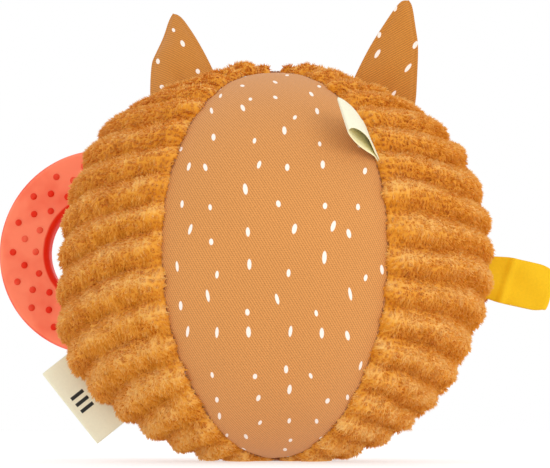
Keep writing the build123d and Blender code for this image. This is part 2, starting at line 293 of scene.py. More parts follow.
def stitches(name, starts, ends, normals, radius, material):
    """Sewn stitches: tapered tubes that arch over the cloth between two holes."""
    starts, ends, normals = (np.asarray(a, float).reshape(-1, 1, 1, 3) for a in (starts, ends, normals))
    share = np.array([0, 0.06, 0.22, 0.5, 0.78, 0.94, 1])[None, :, None, None]
    turn = circle(6)[None, None, :, None]
    along = unit(ends - starts)
    side = unit(np.cross(along, normals))
    bend = (2 * share - 1) ** 2
    middle = starts + (ends - starts) * share + normals * radius * (0.5 - 1.6 * bend)
    reach = radius * np.sqrt(np.maximum(1.02 - bend**2, 0.05))
    rings = middle + reach * (side * np.cos(turn) + unit(np.cross(side, along)) * np.sin(turn))
    rings[..., 2] = np.maximum(rings[..., 2], FLOOR_GAP)
    points, faces = tubes(rings)
    length = np.linalg.norm(ends - starts, axis=-1, keepdims=True)
    uv = np.concatenate([length * share + 0 * turn, 0 * length * share + radius * turn], -1)
    return make_piece(name, points, faces, material, uv=uv)


def cloth_slab(name, grid, thickness, material, inner_face_lit=False):
    """A sheet of cloth of one thickness about a grid of points; its UVs are metres of cloth.

    In one whose inner face is lit, tone is 1 on the face that a folded tape turns inwards, where its material
    paints light in.
    """
    down, side = np.gradient(grid, axis=0), np.gradient(grid, axis=1)
    normal = unit(np.cross(down, side))
    half = np.full(grid.shape[:2], thickness / 2)
    half[[0, -1]] *= 0.5
    half[:, [0, -1]] *= 0.5
    outer, inner = grid + normal * half[..., None], grid - normal * half[..., None]
    middle = grid.shape[1] // 2
    steps = np.linalg.norm(np.diff(grid[:, middle], axis=0), axis=-1)
    run = np.concatenate([[0], np.cumsum(steps)])[:, None] + 0 * half
    across = np.linalg.norm(grid - grid[:, :1], axis=-1)
    uv = np.stack([across, run], -1)
    tone = np.stack([np.full(half.shape, float(inner_face_lit)), np.zeros(half.shape)])
    return slab(name, outer, inner, material, uv, tone=tone), float(steps.sum())


def rounded(corners, rounds=3):
    """An open path with its corners cut off again and again until it is smooth."""
    path = np.asarray(corners, float)
    for _ in range(rounds):
        cuts = np.stack([0.75 * path[:-1] + 0.25 * path[1:], 0.25 * path[:-1] + 0.75 * path[1:]], 1)
        path = np.concatenate([path[:1], cuts.reshape(-1, path.shape[1]), path[-1:]])
    return path


def finish_piece(piece, body, slot, *replaced):
    """Puts a piece on its CAD body and hides the CAD nodes it stands for."""
    if body:
        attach(piece, body)
    if replaced:
        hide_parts(*replaced)
    return piece


# ---- materials

def linear(red, green, blue):
    """A colour given as 0 to 255 screen values, as Blender takes it."""
    return tuple(((c / 255 + 0.055) / 1.055) ** 2.4 if c > 10 else c / 255 / 12.92
                 for c in (red, green, blue)) + (1,)


def shade(colour, factor):
    """A colour made darker or lighter, up to white."""
    return tuple(min(1, c * factor) for c in colour[:3]) + (1,)


class Finish:
    """A material, with short ways to add the shader nodes that are used here."""

    def __init__(self, name, roughness, **sockets):
        """The sockets are the shader's constant inputs, by name."""
        self.material = bpy.data.materials.new(name)
        self.material.use_nodes = True
        self.shader = self.material.node_tree.nodes["Principled BSDF"]
        self.shader.inputs["Roughness"].default_value = roughness
        for key, value in sockets.items():
            self.shader.inputs[key.replace("_", " ")].default_value = value

    def link(self, output, entry):
        self.material.node_tree.links.new(output, entry)

    def node(self, kind, inputs=None, **settings):
        """A shader node, with its settings and with each input set to a value or linked to a socket."""
        made = self.material.node_tree.nodes.new("ShaderNode" + kind)
        for key, value in settings.items():
            setattr(made, key, value)
        for key, value in (inputs or {}).items():
            if isinstance(value, bpy.types.NodeSocket):
                self.link(value, made.inputs[key])
            else:
                made.inputs[key].default_value = value
        return made

    def uv(self):
        return self.node("UVMap").outputs[0]

    def place(self):
        return self.node("TexCoord").outputs["Object"]

    def tone(self):
        return self.node("Attribute", attribute_name="tone").outputs["Fac"]

    def math(self, operation, a, b=0.0, c=0.0):
        return self.node("Math", {0: a, 1: b, 2: c}, operation=operation).outputs[0]

    def scaled(self, value, factor, offset):
        return self.math("MULTIPLY_ADD", value, factor, offset)

    def blend(self, share, a, b):
        """A colour between two, by share."""
        return self.node("Mix", {0: share, 6: a, 7: b}, data_type="RGBA").outputs[2]

    def wave(self, uv, x, y):
        """A sine wave over the cloth, from -1 to 1."""
        phase = self.node("VectorMath", {0: uv, 1: (x, y, 0)}, operation="DOT_PRODUCT").outputs["Value"]
        return self.math("SINE", phase)

    def grain(self, vector, scale, detail=2.0, **more):
        """Noise from 0 to 1; a scale of two numbers stretches it."""
        if isinstance(scale, tuple):
            vector = self.node("VectorMath", {0: vector, 1: scale + (1.0,)}, operation="MULTIPLY").outputs[0]
            scale = 1.0
        return self.node("TexNoise", {"Vector": vector, "Scale": scale, "Detail": detail, **more}).outputs[0]

    def done(self, colour, height=None, strength=0.0, distance=0.0):
        """The material, with its colour and a bump of this height linked."""
        self.link(colour, self.shader.inputs["Base Color"])
        if height:
            bump = self.node("Bump", {"Strength": strength, "Distance": distance, "Height": height})
            self.link(bump.outputs[0], self.shader.inputs["Normal"])
        return self.material


def cotton_material(name, colour, print_colour, dash_cell):
    """Twill cotton printed with scattered pale seeds, on UVs in metres."""
    made = Finish(name, 0.9, Sheen_Weight=0.12, Sheen_Roughness=0.6, Specular_IOR_Level=0.25)
    uv = made.uv()
    twill_pitch = 0.9 * MM
    broken = made.scaled(made.wave(uv, -5.2 / twill_pitch, 4.6 / twill_pitch), 0.34, 0.44)
    ridge = made.scaled(made.wave(uv, 5.4 / twill_pitch, 3.2 / twill_pitch), broken, 0.5)
    weft = made.grain(uv, (900, 2600))
    dark = shade(colour, 0.5)
    woven = made.scaled(ridge, 0.5, made.math("MULTIPLY", weft, 0.5))
    cloth = made.blend(woven, dark, shade(colour, 1.3))
    cloth = made.blend(made.math("MULTIPLY", made.grain(uv, 26.0, 3.0), 0.2), cloth, dark)
    seeds = made.node("TexVoronoi", {"Vector": uv, "Scale": 1 / dash_cell, "Randomness": 0.62},
                      voronoi_dimensions="2D")
    offset = made.node("VectorMath", {0: uv, 1: seeds.outputs["Position"]}, operation="SUBTRACT")
    dice = made.node("SeparateColor", {0: seeds.outputs["Color"]}).outputs
    turn = made.scaled(dice[0], 0.6, -0.3)
    turned = made.node("VectorRotate", {"Vector": offset.outputs[0], "Angle": turn}, rotation_type="Z_AXIS")
    parts = made.node("SeparateXYZ", {0: turned.outputs[0]}).outputs
    half_long = made.scaled(dice[1], 1.3 * MM, 1.1 * MM)
    half_wide = made.scaled(dice[2], 0.25 * MM, 0.62 * MM)
    shares = [made.math("DIVIDE", parts[1], half_long), made.math("DIVIDE", parts[0], half_wide)]
    reach = made.math("ADD", *[made.math("MULTIPLY", share, share) for share in shares])
    printed = made.node("MapRange", {0: reach, 1: 0.8, 2: 1.25, 3: 0.93, 4: 0.0}, clamp=True).outputs[0]
    return made.done(made.blend(printed, cloth, print_colour), woven, 0.5, 0.25 * MM)


def plush_material(name, groove, middle, crest):
    """Cut pile: tone is 0 in a groove and 1 at a rib's crest, with fine streaks across the rib; the darker
    groove colour is painted shade and the paler crest colour painted light.
    """
    made = Finish(name, 0.95, Sheen_Weight=0.2, Sheen_Roughness=0.45, Sheen_Tint=(1.0, 0.82, 0.58, 1),
                  Specular_IOR_Level=0.1)
    uv = made.uv()
    streak = made.grain(uv, (1150, 420), 3.0, Roughness=0.65)
    level = made.scaled(streak, 0.62, made.scaled(made.grain(uv, 70.0), 0.3, -0.46))
    ramp = made.node("ValToRGB", {0: made.math("ADD", made.tone(), level)})
    stops = ramp.color_ramp.elements
    stops[0].position, stops[0].color = 0.0, groove
    stops[1].position, stops[1].color = 1.0, crest
    stops.new(0.45).color = middle
    return made.done(ramp.outputs[0], streak, 0.7, 0.6 * MM)


def woven_material(name, colour, pitch, sheen=0.15, contrast=0.75, roughness=0.75, inner_face_light=None):
    """Plain-woven tape or felt: crossing threads, on UVs in metres; at tone 1 it takes the colour given for
    the inner face, painted light that stands in for light shining through the thin cloth into a fold.
    """
    made = Finish(name, roughness, Sheen_Weight=sheen, Specular_IOR_Level=0.3)
    uv = made.uv()
    parts = made.node("SeparateXYZ", {0: uv}).outputs
    waves = [made.math("SINE", made.math("MULTIPLY", parts[k], 2 * pi / pitch)) for k in (0, 1)]
    weave = made.scaled(made.math("MULTIPLY", *waves), 0.5, 0.5)
    cloud = made.math("MULTIPLY", made.grain(uv, 60.0), 0.35)
    level = made.scaled(weave, 0.45, made.scaled(made.grain(uv, 900.0, 3.0), 0.4, cloud))
    cloth = made.blend(level, shade(colour, contrast), shade(colour, 1.08))
    if inner_face_light:
        cloth = made.blend(made.tone(), cloth, inner_face_light)
    return made.done(cloth, weave, 0.5, 0.15 * MM)


def moulded_material(name, colour, deep, roughness, clouding=0.3, **sockets):
    """Moulded plastic or silicone, clouded a little; tone mixes in the deeper colour."""
    made = Finish(name, roughness, **sockets)
    place = made.place()
    start = made.math("ADD", made.tone(), -clouding / 2)
    share = made.scaled(made.grain(place, 45.0, 3.0), clouding, start)
    mixed = made.node("Clamp", {0: share}).outputs[0]
    return made.done(made.blend(mixed, colour, deep), made.grain(place, 1400.0), 0.12, 0.1 * MM)


def thread_material(name, colour):
    """Twisted sewing thread, on UVs in metres along and round the thread."""
    made = Finish(name, 0.6, Sheen_Weight=0.2)
    twist = made.grain(made.uv(), (2400, 700))
    return made.done(made.blend(twist, shade(colour, 0.45), colour), twist, 0.4, 0.1 * MM)


def wadding_material(name, colour):
    """Loose fibre wadding, on object coordinates."""
    made = Finish(name, 1.0, Sheen_Weight=0.3, Specular_IOR_Level=0.1)
    fibre = made.grain(made.place(), 600.0, 6.0, Distortion=1.5)
    return made.done(made.blend(fibre, shade(colour, 0.7), colour), fibre, 0.8, 0.8 * MM)


PRINT_WHITE = linear(250, 240, 230)
cotton = cotton_material("printed_cotton", linear(218, 147, 77), PRINT_WHITE, 13.5 * MM)
ear_cotton = cotton_material("ear_cotton", linear(205, 132, 50), PRINT_WHITE, 12.5 * MM)
# Painted shade in the darker groove colour and painted light in the paler crest colour.
plush = plush_material("corduroy_plush", linear(203, 120, 14), linear(227, 155, 55), linear(242, 200, 124))
# Painted light on the seam label's inner face: a paler, yellower colour for light that shines through the
# thin tape into its fold.
label_cloth = woven_material("label_tape", linear(240, 236, 208), 0.5 * MM, contrast=0.86,
                             inner_face_light=linear(250, 242, 190))
ribbon_cloth = woven_material("yellow_ribbon", linear(244, 192, 5), 0.6 * MM, sheen=0.0, contrast=0.7)
strap_cloth = woven_material("strap_cotton", linear(236, 214, 172), 0.8 * MM)
cream_felt = woven_material("cream_felt", linear(246, 236, 214), 1.3 * MM, sheen=0.4, roughness=0.95)
dark_felt = woven_material("dark_felt", linear(52, 40, 34), 0.7 * MM, sheen=0.2, contrast=0.5)
ink = woven_material("label_ink", linear(44, 46, 44), 0.5 * MM, contrast=0.7)
seam_thread = thread_material("seam_thread", linear(184, 112, 52))
closing_thread = thread_material("closing_thread", linear(176, 104, 44))
whisker_thread = thread_material("whisker_thread", linear(92, 56, 34))
cream_thread = thread_material("cream_thread", linear(250, 245, 232))
# The deeper red is the silicone's own random clouding and also painted shade on the ring's walls.
silicone = moulded_material("teether_silicone", linear(255, 132, 98), linear(228, 38, 6), 0.5, 2.3,
                            Subsurface_Weight=0.1, Subsurface_Radius=(1.0, 0.35, 0.2),
                            Subsurface_Scale=2 * MM, Specular_IOR_Level=0.15)
case_plastic = moulded_material("rattle_plastic", linear(236, 236, 228), linear(206, 206, 198), 0.4)
bead_plastic = moulded_material("bead_plastic", linear(216, 76, 50), linear(190, 60, 40), 0.25)
film_plastic = moulded_material("crinkle_film", linear(235, 235, 230), linear(200, 205, 205), 0.15)
wadding = wadding_material("wadding", linear(244, 243, 238))


# ---- camera, lights and floor

VIEW_DISTANCE = 0.65
VIEW_ELEVATION = radians(-7)
LENS = 104
SENSOR_WIDTH = 36
CENTRE = Vector((0, 0, CENTRE_Z))
AIM = Vector((0, 0, CENTRE_Z + 13.5 * MM))


def look(thing, place, target):
    """Puts a camera or a lamp in the scene, turned to its target."""
    bpy.context.scene.collection.objects.link(thing)
    thing.location = place
    thing.rotation_euler = (target - Vector(place)).to_track_quat("-Z", "Y").to_euler()


camera = bpy.data.objects.new("camera", bpy.data.cameras.new("camera"))
camera.data.lens = LENS
camera.data.sensor_width = SENSOR_WIDTH
camera.data.clip_start = 10 * MM
look(camera, AIM + VIEW_DISTANCE * Vector((0, -cos(VIEW_ELEVATION), sin(VIEW_ELEVATION))), AIM)
bpy.context.scene.camera = camera

# Soft square lights: place, power, size and colour
LIGHTS = {"key": ((0.55, -0.9, 0.25), 2.4, 0.5, (1, 0.98, 0.95)),
          "fill": ((-0.9, -0.6, 0.35), 0.5, 0.8, (0.97, 0.98, 1)),
          "back": ((0.1, 0.9, 0.4), 1.2, 0.6, (1, 1, 1))}
for light, (light_place, power, light_size, light_colour) in LIGHTS.items():
    lamp = bpy.data.objects.new(light, bpy.data.lights.new(light, "AREA"))
    lamp.data.energy = power
    lamp.data.size = light_size
    lamp.data.color = light_colour
    look(lamp, light_place, CENTRE)

world = bpy.data.worlds.new("studio")
world.use_nodes = True
world.node_tree.nodes["Background"].inputs[0].default_value = (1, 1, 1, 1)
world.node_tree.nodes["Background"].inputs[1].default_value = 1.0
bpy.context.scene.world = world
bpy.context.scene.view_settings.view_transform = "Standard"

FLOOR_SIZE = 6.0
floor_finish = Finish("studio_floor", 0.8, Specular_IOR_Level=0.1, Emission_Color=(1, 1, 1, 1),
                      Emission_Strength=0.6)
floor_cloud = floor_finish.grain(floor_finish.place(), 1.5)
floor_greys = [(grey, grey, grey, 1) for grey in (0.44, 0.48)]
floor_material = floor_finish.done(floor_finish.blend(floor_cloud, *floor_greys))
corners = [(x * FLOOR_SIZE, y * FLOOR_SIZE, 0) for x, y in ((-1, -1), (1, -1), (1, 1), (-1, 1))]
floor = make_piece("floor", corners, [(0, 1, 2, 3)], floor_material)


# ---- the gores

def gore_grid(azimuth, rows, columns):
    """Runs, azimuths and signed distances from the gore's middle line, on a grid."""
    last_run = HALF_RUN - POLE_RADIUS
    run = np.linspace(-last_run, last_run, rows)[:, None]
    even = np.linspace(-1, 1, columns)[None, :]
    share = 0.35 * np.sin(even * pi / 2) + 0.65 * even  # closer together at the seams
    middle = radians(azimuth) + GORE_HALF
    out, _ = oval(run, 0)
    return run + 0 * share, middle + GORE_HALF * share + 0 * run, out * GORE_HALF * share


def cotton_lift(run, across, half):
    """How far a cotton panel's surface stands off the ball's outline; half is its half width."""
    share = np.clip(np.abs(across) / half, 0, 1)
    pull = noise(run / (9 * MM), np.sign(across) * 3.0, 5) * fade(half - np.abs(across), 5)
    ripple = wobble(run, across, 30, 30, 11) * 0.9 * MM * (1 - share**4)
    bulge = COTTON_BULGE * (0.1 + 0.9 * ramp(HALF_RUN - np.abs(run), 32))
    lift = COTTON_EDGE + bulge * (1 - share**6) ** 0.7 + ripple - 0.7 * MM * pull * (share < 1)
    return np.maximum(lift, LINING + 0.15 * MM)


def gore_piece(name, suffix, outer, inner, uv, material, slot, tone=None):
    """A stuffed gore between two grids, with its cloth coordinates on both faces."""
    piece = slab(name + suffix, outer, inner, material, uv, tone=tone)
    finish_piece(piece, "ball", slot, name)


def cotton_panel(name, azimuth):
    """A smooth printed gore that swells a little between its two seams."""
    run, angle, across = gore_grid(azimuth, *COTTON_GRID)
    outer = on_ball(angle, run, cotton_lift(run, across, np.abs(across[:, -1:])))
    uv = np.stack([across, run], -1)
    gore_piece(name, "_cotton", outer, on_ball(angle, run, LINING), uv, cotton, "printed_cotton")


def rib_shape(run, across, pitch, slope, droop, seed):
    """Share of a rib's height at each point, 1 on a crest and 0 in a groove; its side; its number.

    The side is 1 halfway up a rib's upper flank and -1 halfway down its lower one.
    """
    drift = wobble(across, run, 30, 22, seed) * 0.3
    slope = slope + droop * ramp(-run, 60)  # the lower ribs sag towards the ball's sides
    phase = (run + slope * across) / pitch + drift
    offset = 2 * (phase - np.floor(phase)) - 1
    return 0.5 * (1 - offset**2) + 0.25 * (1 + np.cos(pi * offset)), np.sin(pi * offset), np.floor(phase)


def shoulders(angle, run):
    """Where the stuffing pushes the plush out beyond the ball's plain outline, or lets it in."""
    def humps(table):
        return sum(lift * MM * hump(run - place * MM, spread) for place, spread, lift in table)

    sides = np.where(np.cos(angle) > 0, humps(HUMPS["right"]), humps(HUMPS["left"]))
    return sides * np.cos(angle) ** 4 + humps(HUMPS["top"])


def plush_panel(name, azimuth, pitch, slope, droop, seed):
    """A ribbed plush gore: rounded ribs with tufted ends, and a pile of fine tapered fibres."""
    run, angle, across = gore_grid(azimuth, *PLUSH_GRID)
    half = np.abs(across[:, -1:])
    rib, painted_flank_shading, rib_number = rib_shape(run, across, pitch, slope, droop, seed)
    to_seam = half - np.abs(across)
    roll = np.clip(to_seam / np.minimum(RIB_ROLL, half * 0.6), 0, 1)
    roll = np.sqrt(1 - (1 - roll) ** 2)
    streaks = noise(across / (1.3 * MM), run / (3.6 * MM) + rib_number * 7.3, seed + 1) - 0.5
    clumps = wobble(across, run, 3.6, 3.2, seed + 2)
    swell = noise(across / (16 * MM) + rib_number * 3.1, rib_number * 1.7, seed + 3) - 0.5
    tufts = wobble(across, run, 2.2, 2.4, seed + 4) * fade(to_seam, 6)
    height = (PLUSH_CREST - PLUSH_GROOVE) * (rib * (1 + 0.3 * swell)) + PLUSH_GROOVE
    lift = PLUSH_EDGE + (height - PLUSH_EDGE) * roll + shoulders(angle, run)
    lift = lift + roll * (0.3 + 0.7 * rib) * (0.7 * MM * streaks + 1.0 * MM * clumps) + 2.6 * MM * tufts * rib
    lift = np.maximum(lift, LINING + 0.1 * MM)
    ragged = 0.5 + noise(run / (3.5 * MM), np.sign(across) * 5.0, seed + 5)
    overhang = RIB_OVERHANG * ragged * (0.3 + 0.7 * rib) * fade(to_seam, 3)
    overhang = overhang / np.maximum(half, 4 * MM)
    outer = on_ball(angle + np.sign(across) * overhang * GORE_HALF, run, lift)
    # Painted light and shade in the plush's tone: darker in the grooves, where a rib rolls down into its seam
    # and in the hollows between clumps and tufts; lighter on the crests and on raised clumps and tufts;
    # lighter on each rib's upper flank and darker on its lower one, as if lit from above.
    tone = np.clip(0.28 + 0.22 * rib * (0.5 + 0.5 * roll) + 0.15 * painted_flank_shading + 0.2 * clumps + 0.3 * tufts, 0, 1)
    uv = np.stack([across, run], -1)
    backing = np.stack([tone, tone]) + BACKING_SHADE
    gore_piece(name, "_skin", outer, on_ball(angle, run, LINING), uv, plush, "corduroy_plush", backing)
    edge_pull = np.sign(across) * fade(to_seam, 4)
    pile = pile_fibres(name + "_pile", outer, uv, tone, edge_pull, seed)
    finish_piece(pile, "ball", "corduroy_plush")


def pile_fibres(name, surface, uv, tone, edge_pull, seed):
    """Thin closed spikes that stand on a surface grid, combed a little and leaning in clumps."""
    draw = np.random.default_rng(seed)
    count = PILE_COUNT
    columns = surface.shape[1]
    areas = np.linalg.norm(np.cross(surface[1:, :-1] - surface[:-1, :-1],
                                    surface[:-1, 1:] - surface[:-1, :-1]), axis=-1)
    chosen = draw.choice(areas.size, count, p=(areas / areas.sum()).ravel())
    row, column = chosen // (columns - 1), chosen % (columns - 1)
    down, side = draw.random(count)[:, None], draw.random(count)[:, None]

    def at(values):
        low = values[row, column] * (1 - side) + values[row, column + 1] * side
        high = values[row + 1, column] * (1 - side) + values[row + 1, column + 1] * side
        return low * (1 - down) + high * down

    root = at(surface)
    along = unit(surface[row + 1, column] - surface[row, column])
    across = unit(surface[row, column + 1] - surface[row, column])
    normal = unit(np.cross(across, along))
    place = at(uv)
    ground = at(tone[..., None])[:, 0]
    warp = [noise(place[:, 0] / (4 * MM), place[:, 1] / (4 * MM), seed + k) for k in (13, 14)]
    spot = place / TUFT + 1.3 * np.stack(warp, -1)
    spot[:, 0] += 0.5 * (np.floor(spot[:, 1]) % 2)
    cell = np.floor(spot)
    dice = np.stack([noise(cell[:, 0], cell[:, 1], seed + k) for k in (9, 10, 11)], -1)
    to_tuft = (cell + 0.25 + 0.5 * dice[:, :2]) - spot
    comb = wobble(place[:, 0], place[:, 1], 5, 5, seed + 12)[:, None]
    pull = at(edge_pull[..., None])
    gather = 0.9 + np.abs(pull)
    lean = unit(normal + across * (gather * to_tuft[:, :1] + 0.8 * pull)
                + along * (gather * to_tuft[:, 1:] + 1.2 * comb - 0.6) + draw.normal(0, 0.1, (count, 3)))
    length = PILE_LENGTH * (0.75 + 0.4 * draw.random(count))[:, None]
    root = root - normal * PILE_DEPTH
    tip = root + lean * length
    tip[:, 2] = np.maximum(tip[:, 2], FLOOR_GAP)
    root[:, 2] = np.maximum(root[:, 2], FLOOR_GAP + 0.3 * MM)
    ring = [root + PILE_WIDTH * (cos(turn) * across + sin(turn) * along)
            for turn in (0, 2 * pi / 3, 4 * pi / 3)]
    points = np.stack(ring + [tip], 1)
    first = 4 * np.arange(count)[:, None]
    faces = np.concatenate([first + np.array(f) for f in ((0, 1, 3), (1, 2, 3), (2, 0, 3), (0, 2, 1))])
    fibre_uv = np.repeat(place[:, None, :], 4, 1)
    spread = np.linalg.norm(to_tuft, axis=1)
    # Painted shade between tufts: fibres further from their tuft's middle are darker; the random terms are
    # the pile's own uneven tone.
    level = ground + 0.24 * (draw.random(count) - 0.5) + 0.3 * (dice[:, 2] - 0.5) + 0.3 * (0.42 - spread)
    # Painted shade at each fibre's root and painted light at its tip.
    fibre_tone = np.stack([level + ROOT_PAINTED_SHADE] * 3 + [level + TIP_PAINTED_LIGHT], 1)
    return make_piece(name, points, faces, plush, uv=fibre_uv, tone=fibre_tone, smooth=False)


cotton_panel("back_panel", -120)
cotton_panel("face_panel", 60)
for gore, (gore_azimuth, rib_pitch, *rib_run) in PLUSH_GORES.items():
    plush_panel(f"{gore}_plush_panel", gore_azimuth, rib_pitch * MM, *rib_run)


# ---- stitching

def seam_stitching():
    """One row of stitches along each edge of the two cotton panels, half under the plush."""
    pitch, length, inset = 2.9 * MM, 1.9 * MM, 1.0 * MM
    starts, ends, normals = [], [], []
    for seam, side in ((-120, 1), (-60, -1), (60, 1), (120, -1)):
        run = np.arange(-HALF_RUN + 9 * MM, HALF_RUN - 9 * MM, pitch)
        for place, hold in ((run, starts), (run + length, ends)):
            out, _ = oval(place, 0)
            azimuth = radians(seam) + side * inset / out
            half = out * GORE_HALF
            hold.append(on_ball(azimuth, place, cotton_lift(place, half - inset, half) + 0.12 * MM))
        normals.append(unit(on_ball(azimuth, place, 1 * MM) - on_ball(azimuth, place, 0)))
    piece = stitches("seam_stitching", np.concatenate(starts), np.concatenate(ends),
                     np.concatenate(normals), SEAM_RADIUS, seam_thread)
    finish_piece(piece, "ball", "seam_thread", "seam_threads")


def closing_stitch(name, side):
    """A puckered dome of thread where the gores meet; side is 1 at the top and -1 at the bottom."""
    low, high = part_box(name)
    middle, span, reach = (low.z + high.z) / 2, (high.z - low.z) / 2, (high.x - low.x) / 2
    turn = circle(72)[None, :]
    fall = np.concatenate([np.linspace(0.04, 1, 14), np.linspace(1, 0.04, 8)])[:, None]
    dome = np.concatenate([np.linspace(1, 0, 14) ** 0.5 * 0.9 + 0.1, np.full(8, -1)])[:, None]
    pucker = 1 - 0.14 * np.abs(np.cos(6 * turn)) * fall
    radius = reach * fall * (0.97 + 0.03 * pucker)
    height = middle + side * span * np.where(dome > 0, dome * pucker, dome)
    points = np.stack([radius * np.cos(turn), radius * np.sin(turn), height + 0 * turn], -1)
    points[..., 2] = np.maximum(points[..., 2], FLOOR_GAP)
    mesh_points, faces = tubes(points[None])
    uv = np.stack([turn * reach + 0 * fall, fall * reach + 0 * turn], -1)
    piece = make_piece(name + "_dome", mesh_points, faces, closing_thread, uv=uv)
    finish_piece(piece, "ball", "closing_thread", name)
    spokes = np.arange(12) * pi / 6
    ray = np.stack([np.cos(spokes), np.sin(spokes), 0 * spokes], -1)
    top = np.array([0, 0, middle + side * span * 0.97])
    rim = np.array([0, 0, middle + side * span * 0.35])
    up = np.broadcast_to(np.array([0.0, 0, side]), ray.shape)
    spoke = stitches(name + "_spokes", top + ray * reach * 0.12, rim + ray * reach * 0.96, up,
                     SPOKE_RADIUS, closing_thread)
    finish_piece(spoke, "ball", "closing_thread")


seam_stitching()
closing_stitch("top_closing_stitch", 1)
closing_stitch("bottom_closing_stitch", -1)


# ---- places on a seam, as the CAD works them out

def on_seam(azimuth, angle, lift):
    """A point on a seam where the ball's outward normal stands at an angle, in degrees."""
    turn = radians(angle)
    run = SIDE_ARC * turn
    if abs(turn) > TANGENT_ANGLE:
        run = np.sign(turn) * (SIDE_RUN + CAP_ARC * (abs(turn) - TANGENT_ANGLE))
    out, up = oval(np.float64(run), lift)
    return out * level_ray(azimuth) + np.array([0, 0, up])


def tape_axes(azimuth, angle, droop=0, lean=0):
    """A tape's outward, normal and along directions, where it stands out of a seam."""
    ray = level_ray(azimuth)
    side = np.array([sin(radians(azimuth)), -cos(radians(azimuth)), 0])
    up = np.array([0, 0, 1.0])
    tilt = radians(angle - droop)
    straight = ray * cos(tilt) + up * sin(tilt)
    along = up * cos(tilt) - ray * sin(tilt)
    outward = straight * cos(radians(lean)) - side * sin(radians(lean))
    return outward, np.cross(along, outward), along


def tape_columns(last, count):
    """Shares across a tape from -1 to 1, with a narrow column along each edge."""
    return np.concatenate([[-1], np.linspace(-last, last, count), [1]])[None, :]


def folded_tape(node, slot, origin, axes, corners, size, material, shape, inner_face_lit=False):
    """A tape that leaves its seam, folds back and returns, along a path through chosen corners.

    Corners are out and sideways distances; shape may change the out, sideways and along grids.
    Size is its width and thickness.
    """
    width, thickness = size
    path = rounded(np.array(corners) * MM)
    across = tape_columns(0.97, 25)
    out, sideways = path[:, :1] + 0 * across, path[:, 1:] + 0 * across
    reach = across * width / 2 + 0 * out
    grid = from_axes(origin, axes, *shape(out, sideways, reach))
    piece, length = cloth_slab(node + "_cloth", grid, thickness, material, inner_face_lit)
    finish_piece(piece, None, slot, node)
    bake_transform(piece)


# ---- ribbon tab and labels

def ribbon_tab():
    """The yellow ribbon, folded double, with a soft crease and slightly curled corners."""
    origin = on_seam(0, -3.6, 3.2 * MM)
    axes = tape_axes(0, -3, droop=9)

    def wave(out, sideways, reach):
        share = 2 * reach / RIBBON_WIDTH
        crease = 0.9 * MM * hump(out - 3.5 * MM - 1.2 * MM * share, 1.6)
        curl = 1.1 * MM * share * ramp(out, 20) ** 2
        roll = 0.35 * MM * np.sin(share * 3.5 + out / (4 * MM))
        corner = 1 - 0.1 * ramp(out - 16 * MM, 5) ** 2
        pinch = 1 - 0.12 * (1 - ramp(out + 6 * MM, 8))
        trim = 1.0 * MM * share**4 * ramp(out, 18) ** 4
        return out - trim, sideways - crease + curl + roll, reach * corner * pinch

    corners = [(-9, 0.45), (-2, 0.5), (3, 0.9), (10, 1.3), (17, 1.2), (21.3, 1.0), (21.9, 0),
               (21.3, -0.9), (17, -1.0), (10, -1.1), (3, -0.8), (-2, -0.5), (-9, -0.45)]
    folded_tape("ribbon_tab", "yellow_ribbon", origin, axes, corners,
                (RIBBON_WIDTH, RIBBON_THICK), ribbon_cloth, wave)


def side_label():
    """The wide label, folded double, with three plain bars woven on each face."""
    origin = on_seam(180, -38.8, 0.2 * MM)
    axes = tape_axes(180, -38.8)

    def wave(out, sideways, reach):
        bow = 0.7 * MM * np.sin(reach / (9 * MM) + 0.6) * ramp(out, 12)
        return out, sideways + bow, reach

    corners = [(-6, 0.35), (2, 0.45), (8, 0.6), (13, 0.55), (14.7, 0.45), (15, 0), (14.7, -0.45),
               (13, -0.5), (8, -0.55), (2, -0.4), (-6, -0.35)]
    folded_tape("side_label", "label_tape", origin, axes, corners,
                (LABEL_WIDTH, LABEL_THICK), label_cloth, wave)
    edge = np.array([-0.75, -0.6, 0, 0.6, 0.75])[None, :] * MM  # across one bar
    place = np.linspace(6.2, 12.2, 9)[:, None] * MM
    for bar in range(2 * BARS):
        face = 1 if bar >= BARS else -1
        reach = edge - 4 * MM + BAR_PITCH * (bar % BARS)
        out, sideways, reach = wave(place + 0 * reach, face * 0.62 * MM + 0 * place, reach + 0 * place)
        sideways = sideways + face * 0.2 * MM
        grid = from_axes(origin, axes, out, sideways, reach)
        piece, _ = cloth_slab(f"label_bar_{bar + 1}", grid, BAR_THICK, ink)
        finish_piece(piece, None, "label_tape")
        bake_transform(piece)


def seam_label():
    """The narrow label: a puffed loop, open at its lower end and pressed together at the upper."""
    origin = on_seam(-62, 33.5, -1.5 * MM)
    axes = tape_axes(-62, 33.5, lean=-45)

    def puff(out, sideways, reach):
        open_share = 0.5 - 0.5 * reach / LOOP_HALF_WIDTH
        swell = 0.45 + 0.5 * open_share
        lean = -3.4 * MM * ramp(out, 20)
        shorter = 1 - 0.1 * (1 - open_share) ** 2
        skew = 0.5 * np.clip(sideways, 0, 1) * open_share
        taper = 1 - 0.05 * ramp(out, 20)
        return out * shorter, sideways * swell + lean, reach * taper + skew

    corners = [(-4, 0.3), (1, 0.4), (5, 1.6), (10, 2.6), (15, 2.5), (19, 1.6), (20.6, 0.5), (20.8, -0.3),
               (19.6, -1.4), (15, -2.0), (10, -2.0), (5, -1.3), (1, -0.4), (-4, -0.3)]
    # Its inner face gets painted light.
    folded_tape("seam_label", "label_tape", origin, axes, corners,
                (2 * LOOP_HALF_WIDTH, LABEL_THICK), label_cloth, puff, inner_face_lit=True)


ribbon_tab()
side_label()
seam_label()


# ---- ears

